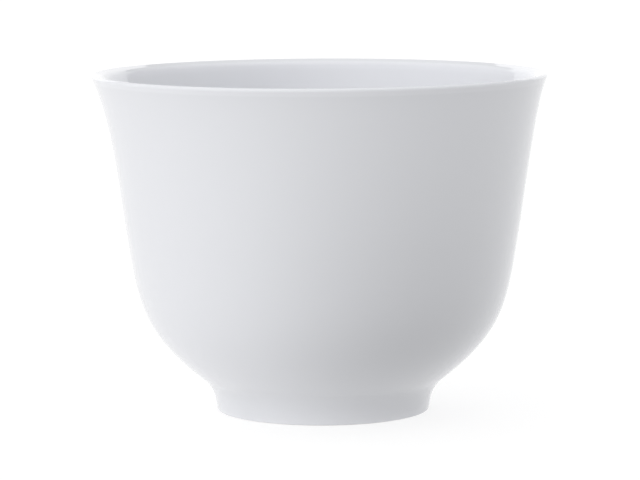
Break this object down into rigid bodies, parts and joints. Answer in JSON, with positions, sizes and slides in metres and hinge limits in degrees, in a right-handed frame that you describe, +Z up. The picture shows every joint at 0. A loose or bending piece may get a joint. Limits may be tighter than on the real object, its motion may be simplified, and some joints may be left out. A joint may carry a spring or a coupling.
{
  "type": "tea cup",
  "caption": "Handleless tea cup in white glazed porcelain: a bell-shaped bowl with a flared lip on a low turned foot ring, for serving hot tea.",
  "frame": {"origin": "centre of the foot ring, on the plane that the cup stands on", "axes": "+Z up along the cup's axis; the cup is round, so X and Y are any two directions across it"},
  "size_m": [0.086, 0.086, 0.064],
  "materials": {
    "porcelain": "fired bare porcelain, fine and matt",
    "slip": "fired slip, matt",
    "glaze": "clear glaze over white porcelain, glossy and faintly cool"
  },
  "bodies": {
    "root": {"bowl": "porcelain", "slip_seam": "slip", "foot_ring": "porcelain", "outside_glaze": "glaze", "inside_glaze": "glaze", "well_glaze": "glaze"}
  },
  "joints": []
}
